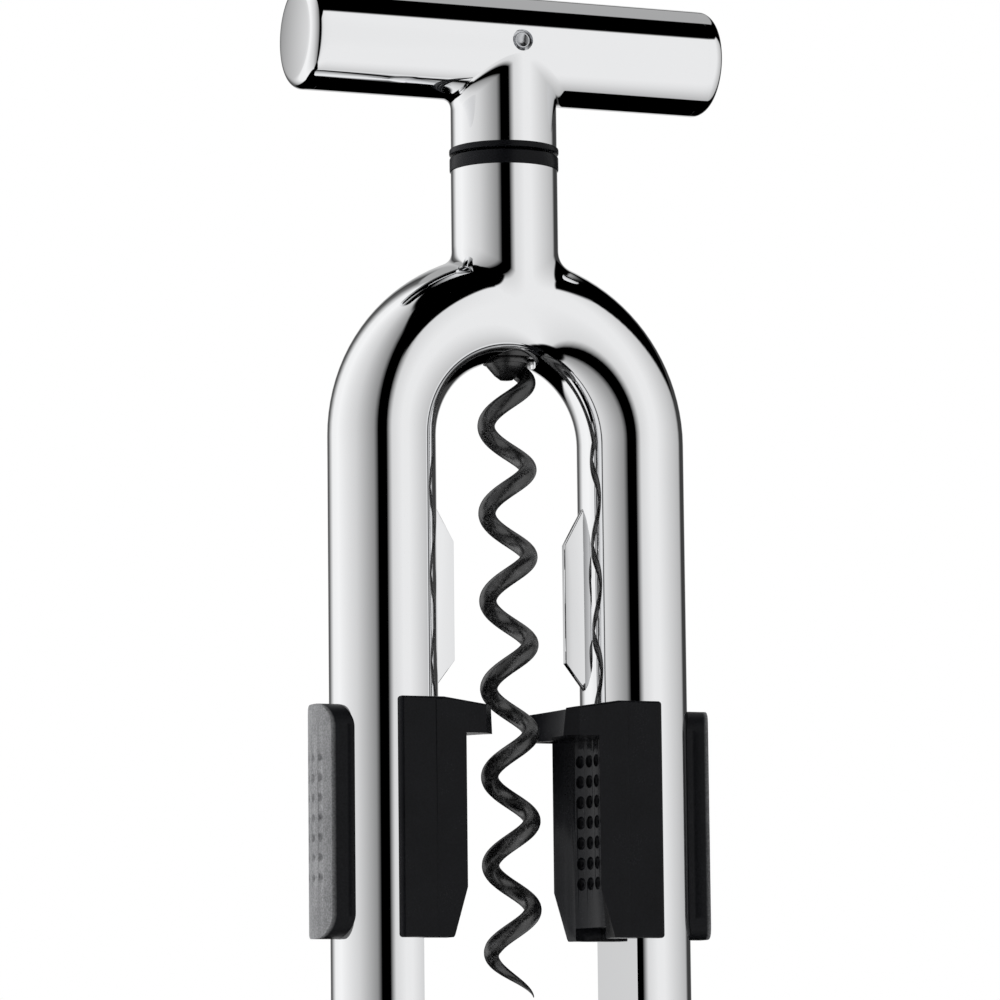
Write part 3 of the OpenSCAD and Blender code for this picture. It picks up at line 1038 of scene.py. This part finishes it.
@dataclass
class Handle(SubAssembly):
    """Bar, stem, end caps, cross pin and thrust washer."""

    bar_r: float = 8.6
    bar_z: float = 182.4
    stem_r: float = 8.5
    stem_bore_r: float = 3.73
    stem_fillet: float = 1.7
    stem_side_rise: float = 32.0
    stem_front_rise: float = 13.5
    stem_sunk: float = 0.25
    cap_h: float = 3.0
    cap_crown: float = 0.15
    cap_edge_r: float = 1.8
    cap_face_steps: int = 8
    cap_edge_steps: int = 10
    pin_r: float = 1.7
    pin_dish_r: float = 1.05
    pin_dish_depth: float = 0.42
    pin_dish_steps: int = 6
    pin_lip: Pair = (1.2, 0.02)
    pin_neck_r: float = 1.27
    pin_neck: Pair = (0.12, 0.8)
    pin_around: int = 48
    washer_edge: float = 0.25

    def bar_rule(self, point: Vector) -> Optional[Vector]:
        """Exact normal of the bar, or None off it."""
        return Workshop.radial(point, Vector((point.x, 0, self.bar_z * MM)), self.bar_r * MM)

    def bar_field(self, points: np.ndarray) -> np.ndarray:
        """Distance of points in millimetres from the bar."""
        return np.hypot(points[..., 1], points[..., 2] - self.bar_z) - self.bar_r

    def cap(self, side: Side) -> Object:
        """Turns one end cap, almost flat with a rounded rim.

        Args:
            side: The end of the bar.

        Returns:
            The object.
        """
        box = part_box(f"end_cap_{side.word}")
        tip = max(abs(box[0][0]), abs(box[1][0])) / MM
        flat_r = self.bar_r - self.cap_edge_r
        shares = [k / self.cap_face_steps for k in range(self.cap_face_steps)]
        face = [(flat_r * share, self.cap_h - self.cap_crown * share**2) for share in shares]
        centre = self.cap_h - self.cap_crown - self.cap_edge_r
        turns = [math.pi / 2 * k / self.cap_edge_steps for k in range(self.cap_edge_steps + 1)]
        rim = [(flat_r + self.cap_edge_r * math.sin(t), centre + self.cap_edge_r * math.cos(t)) for t in turns]
        profile = [*face, *rim, (self.bar_r, 0.0), (0.0, 0.0)]
        start = Vector((side.value * (tip - self.cap_h), 0, self.bar_z))
        return Workshop.lathe(f"domed_cap_{side.word}", profile, Vector((side.value, 0, 0)), start)

    def pin(self) -> Object:
        """Turns the cross pin with dished ends and a fine groove beside the bar.

        Returns:
            The object.
        """
        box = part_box("cross_pin")
        half = (box[1][1] - box[0][1]) / 2 / MM
        shares = [k / self.pin_dish_steps for k in range(self.pin_dish_steps + 1)]
        dish = [(self.pin_dish_r * share, half - self.pin_dish_depth * (1 - share**2)) for share in shares]
        lip = (self.pin_lip[0], half - self.pin_lip[1])
        neck = [(self.pin_neck_r, half - down) for down in self.pin_neck]
        end = [*dish, lip, *neck, (self.pin_r, half - self.pin_neck[1])]
        profile = end + [(r, -high) for r, high in reversed(end)]
        start = Vector((0, 0, self.bar_z))
        return Workshop.lathe("dished_pin", profile, Vector((0, 1, 0)), start, self.pin_around)

    def build(self) -> None:
        """Makes the turning pieces above the neck."""
        bar = Workshop.copy_of("handle_bar", "grip_bar")
        Workshop.true_normals(bar, [self.bar_rule(vert.co) for vert in bar.data.vertices])
        self.keep(bar, Body.HANDLE, Slot.CHROME, "handle_bar")
        stem = BlendedTube(
            "coped_stem", radius=self.stem_r, bore_r=self.stem_bore_r, far_z=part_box("handle_stem")[0][2] / MM,
            joint_z=self.bar_z, host=self.bar_field, fillet=self.stem_fillet, side_rise=self.stem_side_rise,
            front_rise=self.stem_front_rise, sunk=self.stem_sunk,
        )
        self.keep(stem.build(), Body.HANDLE, Slot.CHROME, "handle_stem")
        for side in Side:
            self.keep(self.cap(side), Body.HANDLE, Slot.CHROME, f"end_cap_{side.word}")
        self.keep(self.pin(), Body.HANDLE, Slot.STEEL, "cross_pin")
        washer = Workshop.copy_of("thrust_washer", "running_washer")
        Workshop.soften(washer, self.washer_edge)
        self.keep(washer, Body.HANDLE, Slot.BLACK, "thrust_washer")


@dataclass
class Shaft(SubAssembly):
    """Spindle and its retaining ring."""

    edge: float = 0.12
    nose: Stops = ((0.0, -2.6), (1.0, -2.5), (1.9, -1.8), (3.0, -0.5), (3.5, 0.2), (0.0, 0.2))
    nose_around: int = 48

    def taper(self, obj: Object) -> None:
        """Adds the tapered nose that takes up the end of the worm.

        Args:
            obj: The spindle.
        """
        start = Vector((0, 0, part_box("spindle")[0][2] / MM))
        nose = Workshop.lathe("spindle_nose", self.nose, Vector((0, 0, 1)), start, self.nose_around)
        with Workshop.shaping(obj.data) as shape:
            shape.from_mesh(nose.data)
        bpy.data.objects.remove(nose)
        Workshop.smooth(obj.data)

    def build(self) -> None:
        """Makes the spindle and the ring with broken edges."""
        for node, name in (("spindle", "coated_spindle"), ("retaining_ring", "snap_ring")):
            part = Workshop.copy_of(node, name)
            Workshop.soften(part, self.edge, 2)
            if node == "spindle":
                self.taper(part)
            self.keep(part, Body.HANDLE, Slot.COATED, node)


@dataclass
class Worm(SubAssembly):
    """The helix of coated wire, swept by a node tree."""

    outer_d: float = 9.4
    wire_d: float = 2.8
    pitch: float = 14.0
    tip_z: float = 30.5
    top_z: float = 130.1
    taper: float = 8.0
    point_share: float = 0.05
    heading: float = -16.0
    steps_a_turn: int = 72
    steps_around_wire: int = 24

    def sizes(self) -> dict[str, float]:
        """Works out the values of the tree's inputs.

        Returns:
            The values by name.
        """
        rise = self.top_z - self.tip_z
        return {
            "Turns": rise / self.pitch, "Helix radius": (self.outer_d - self.wire_d) / 2 * MM,
            "Rise": rise * MM, "Wire radius": self.wire_d / 2 * MM,
            "Point share": self.taper / rise, "Point radius": self.point_share,
            "Foot": self.tip_z * MM, "Heading": math.radians(self.heading),
        }

    def tree(self, sizes: dict[str, float]) -> bpy.types.NodeTree:
        """Builds the node tree of the swept helix.

        Args:
            sizes: The values of its inputs by name.

        Returns:
            The tree.
        """
        graph, given = Graph.geometry("swept_worm", sizes, False)
        coil = graph.first("GeometryNodeCurveSpiral", inputs={
            "Resolution": self.steps_a_turn, "Rotations": given["Turns"], "Start Radius": given["Helix radius"],
            "End Radius": given["Helix radius"], "Height": given["Rise"], "Reverse": True,
        })
        share = graph.node("GeometryNodeSplineParameter").outputs["Factor"]
        grown = graph.spread(share, (0.0, given["Point share"]), (given["Point radius"], 1.0))
        tapered = graph.first("GeometryNodeSetCurveRadius", inputs={"Curve": coil, "Radius": grown})
        circle = {"Resolution": self.steps_around_wire, "Radius": given["Wire radius"]}
        wire = graph.first("GeometryNodeCurvePrimitiveCircle", inputs=circle)
        sweep = {"Curve": tapered, "Profile Curve": wire, "Fill Caps": True}
        swept = graph.node("GeometryNodeCurveToMesh", inputs=sweep)
        if "Scale" in swept.inputs:
            graph.fill(swept, {"Scale": grown})
        turn = graph.first("ShaderNodeCombineXYZ", inputs={"Z": given["Heading"]})
        lift = graph.first("ShaderNodeCombineXYZ", inputs={"Z": given["Foot"]})
        move = {"Geometry": swept.outputs[0], "Translation": lift, "Rotation": turn}
        graph.end("NodeGroupOutput", graph.first("GeometryNodeTransform", inputs=move))
        return graph.tree

    def build(self) -> None:
        """Sweeps the worm."""
        obj = Workshop.link("coated_worm", bpy.data.meshes.new("coated_worm"))
        sizes = self.sizes()
        Workshop.grow(obj, self.tree(sizes), sizes)
        with Workshop.shaping(obj.data) as shape:
            bmesh.ops.recalc_face_normals(shape, faces=shape.faces)
        Workshop.smooth(obj.data)
        self.keep(obj, Body.HANDLE, Slot.COATED, "worm")


@dataclass
class PhotoCamera:
    """The camera at the photograph's viewing angle."""

    azimuth: float = -22.342
    elevation: float = -5.94
    distance: float = 800.0
    aim_z: float = 95.0
    yaw: float = -0.086
    pitch: float = 1.026
    roll: float = -0.618
    lens: float = 181.112
    sensor: float = 36.0
    clip: Pair = (0.01, 50.0)

    def axes(self) -> tuple[Vector, Vector, Vector, Vector]:
        """Works out where the camera stands and how it is turned.

        Returns:
            Its place in metres, and its forward, right and up directions.
        """
        a, e = math.radians(self.azimuth), math.radians(self.elevation)
        centre = Vector((0, 0, self.aim_z * MM))
        out = Vector((math.sin(a) * math.cos(e), -math.cos(a) * math.cos(e), math.sin(e)))
        place = centre + out * self.distance * MM
        ahead = (centre - place).normalized()
        right = ahead.cross(Vector((0, 0, 1))).normalized()
        up = right.cross(ahead)
        y, t, r = math.radians(self.yaw), math.radians(self.pitch), math.radians(self.roll)
        ahead = ahead * math.cos(y) * math.cos(t) + right * math.sin(y) * math.cos(t) + up * math.sin(t)
        right = ahead.cross(up).normalized()
        up = right.cross(ahead)
        return place, ahead, right * math.cos(r) + up * math.sin(r), up * math.cos(r) - right * math.sin(r)

    def build(self) -> None:
        """Makes the camera and hands it to the scene."""
        data = bpy.data.cameras.new("photo_camera")
        data.lens, data.sensor_width = self.lens, self.sensor
        data.clip_start, data.clip_end = self.clip
        place, ahead, right, up = self.axes()
        turn = Matrix((right, up, -ahead)).transposed().to_4x4()
        obj = bpy.data.objects.new("photo_camera", data)
        obj.matrix_world = Matrix.Translation(place) @ turn
        bpy.context.scene.collection.objects.link(obj)
        bpy.context.scene.camera = obj


@dataclass(frozen=True)
class LightTent:
    """A round light tent with a dark slot for the camera, seen only in reflections.

    Angles are in degrees from the camera's direction, positive to its right and upwards. The walls
    glow between foot and top, and the back of the roof above rear. Radius and centre are in metres.
    """

    azimuth: float
    radius: float = 5.0
    centre_z: float = 0.12
    step: float = 1.5
    soft: float = 3.5
    glow: Stops = (
        (-172, 0.6), (-160, 0.05), (-148, 0.15), (-127, 0.95), (-105, 1.0), (-55, 0.7), (-15, 0.3), (-6, 0.0),
        (12, 0.0), (23, 0.75), (45, 0.9), (60, 0.9), (90, 0.7), (126, 0.5), (135, 0.05), (160, 0.05), (172, 0.7),
    )
    top: Stops = (
        (-150, 75), (-55, 75), (-20, 60), (-5, 40), (15, 25), (40, 42), (85, 42), (135, 15), (165, 30),
    )
    foot: Stops = ((-150, -10), (-125, -45), (-55, -75), (0, -65), (60, -75), (125, -75), (135, -10))
    rear: Stops = ((-180, 35), (-135, 65), (-115, 90), (100, 90), (115, 62), (165, 35))
    rear_glow: float = 0.42

    def level(self, turn: float, rise: float) -> float:
        """Brightness of the tent in one direction.

        Args:
            turn: Angle to the right of the camera.
            rise: Angle above the level.

        Returns:
            The brightness, where 1 is white.
        """
        def at(stops: Stops) -> float:
            """The value of the stops at this turn."""
            return float(np.interp(turn, *zip(*stops)))

        def past(edge: float) -> float:
            """How far this rise lies past a soft edge, from 0 to 1."""
            share = min(1.0, max(0.0, (rise - edge) / self.soft + 0.5))
            return share * share * (3 - 2 * share)

        walls = at(self.glow) * past(at(self.foot)) * (1 - past(at(self.top)))
        return max(walls, self.rear_glow * past(at(self.rear)))

    def cloth(self) -> Material:
        """Makes the glowing cloth, which reads the brightness kept on the mesh.

        Returns:
            The material.
        """
        material = bpy.data.materials.new("tent_cloth")
        material.use_nodes = True
        graph = Graph(material.node_tree)
        kept = graph.node("ShaderNodeAttribute", {"attribute_name": "glow"}).outputs["Fac"]
        graph.end("ShaderNodeOutputMaterial", graph.light(kept))
        return material

    def pitch(self) -> None:
        """Puts the tent up."""
        across, high = round(360 / self.step), round(180 / self.step)
        points, levels = [], []
        for j in range(high + 1):
            rise = -90 + 180 * j / high
            up = math.radians(rise)
            reach, lift = self.radius * math.cos(up), self.radius * math.sin(up)
            for i in range(across):
                turn = -180 + 360 * i / across
                side = math.radians(turn + self.azimuth)
                points.append((reach * math.sin(side), -reach * math.cos(side), self.centre_z + lift))
                levels.append(self.level(turn, rise))
        mesh = bpy.data.meshes.new("light_tent")
        mesh.from_pydata(points, [], Workshop.ring_faces(high + 1, across, False))
        mesh.attributes.new("glow", "FLOAT", "POINT").data.foreach_set("value", levels)
        mesh.materials.append(self.cloth())
        tent = Workshop.link("light_tent", mesh)
        tent.visible_camera = tent.visible_diffuse = tent.visible_transmission = False
        tent.visible_volume_scatter = tent.visible_shadow = False


@dataclass(frozen=True)
class Lamp:
    """A soft square lamp that faces the corkscrew, placed in the camera's frame in millimetres."""

    name: str
    place: tuple[float, float, float]
    size: float
    watts: float
    aim_z: float = 90.0

    def hang(self, azimuth: float) -> None:
        """Hangs the lamp.

        Args:
            azimuth: The camera's direction in degrees.
        """
        data = bpy.data.lights.new(self.name, "AREA")
        data.shape, data.size, data.energy = "SQUARE", self.size * MM, self.watts
        obj = bpy.data.objects.new(self.name, data)
        obj.location = Matrix.Rotation(math.radians(azimuth), 3, "Z") @ (Vector(self.place) * MM)
        aim = Vector((0, 0, self.aim_z * MM)) - obj.location
        obj.rotation_euler = aim.to_track_quat("-Z", "Y").to_euler()
        obj.visible_glossy = False
        bpy.context.scene.collection.objects.link(obj)


@dataclass
class Studio:
    """Floor, world, light tent and lamps."""

    azimuth: float
    floor_reach: float = 4.0
    floor_colour: Colour = (0.8, 0.8, 0.8)
    floor_speck: float = 60.0
    floor_speck_span: Pair = (0.3, 0.7)
    floor_roughness: Pair = (0.75, 0.9)
    floor_shine: float = 0.1
    floor_glow: float = 0.34
    fill: float = 0.05
    lamps: tuple[Lamp, ...] = (
        Lamp("key_left", (-900, 60, 160), 700, 10.0),
        Lamp("fill_front", (500, -800, 500), 700, 0.6),
        Lamp("top_soft", (0, 40, 1300), 1200, 10.0),
    )

    def floor_paint(self) -> Material:
        """Makes the floor's material, with a glow that only the camera sees.

        Returns:
            The material.
        """
        material = bpy.data.materials.new("pale_floor")
        material.use_nodes = True
        graph = Graph(material.node_tree)
        place = graph.node("ShaderNodeTexCoord").outputs["Object"]
        speck = graph.first("ShaderNodeTexNoise", inputs={"Vector": place, "Scale": self.floor_speck})
        shader = graph.first("ShaderNodeBsdfPrincipled", inputs={
            "Base Color": (*self.floor_colour, 1.0), "Specular IOR Level": self.floor_shine,
            "Roughness": graph.spread(speck, self.floor_speck_span, self.floor_roughness),
        })
        seen = graph.node("ShaderNodeLightPath").outputs["Is Camera Ray"]
        glow = graph.light(graph.spread(seen, WHOLE, (0.0, self.floor_glow)))
        graph.end("ShaderNodeOutputMaterial", graph.first("ShaderNodeAddShader", inputs={0: shader, 1: glow}))
        return material

    def floor(self) -> None:
        """Lays the pale floor."""
        mesh = bpy.data.meshes.new("pale_floor")
        corners = ((-1, -1), (1, -1), (1, 1), (-1, 1))
        mesh.from_pydata([(x * self.floor_reach, y * self.floor_reach, 0) for x, y in corners], [], [(0, 1, 2, 3)])
        mesh.materials.append(self.floor_paint())
        floor = Workshop.link("pale_floor", mesh)
        floor.visible_glossy = False

    def world(self) -> None:
        """Lights the room: white to the camera and in reflections, dimmer as fill."""
        world = bpy.data.worlds.new("studio")
        bpy.context.scene.world = world
        world.use_nodes = True
        graph = Graph(world.node_tree)
        path = graph.node("ShaderNodeLightPath").outputs
        seen = graph.math("MAXIMUM", path["Is Camera Ray"], path["Is Glossy Ray"])
        seen = graph.math("MAXIMUM", seen, path["Is Transmission Ray"])
        strength = graph.spread(seen, WHOLE, (self.fill, 1.0))
        back = graph.first("ShaderNodeBackground", inputs={"Color": WHITE, "Strength": strength})
        graph.end("ShaderNodeOutputWorld", back)

    def build(self) -> None:
        """Sets up the whole studio."""
        self.floor()
        self.world()
        LightTent(self.azimuth).pitch()
        for lamp in self.lamps:
            lamp.hang(self.azimuth)
        bpy.context.scene.view_settings.view_transform = "Standard"


def main() -> None:
    """Builds the camera, the studio and every sub-assembly."""
    logging.basicConfig(level=logging.INFO)
    camera = PhotoCamera()
    camera.build()
    Studio(camera.azimuth).build()
    finishes = Finishes()
    for part in (ChromeFrame(), Bushes(), Jaws(), GripPads(), Feet(), Handle(), Shaft(), Worm()):
        part.build()
        part.dress(finishes)


if __name__ == "__main__":
    main()
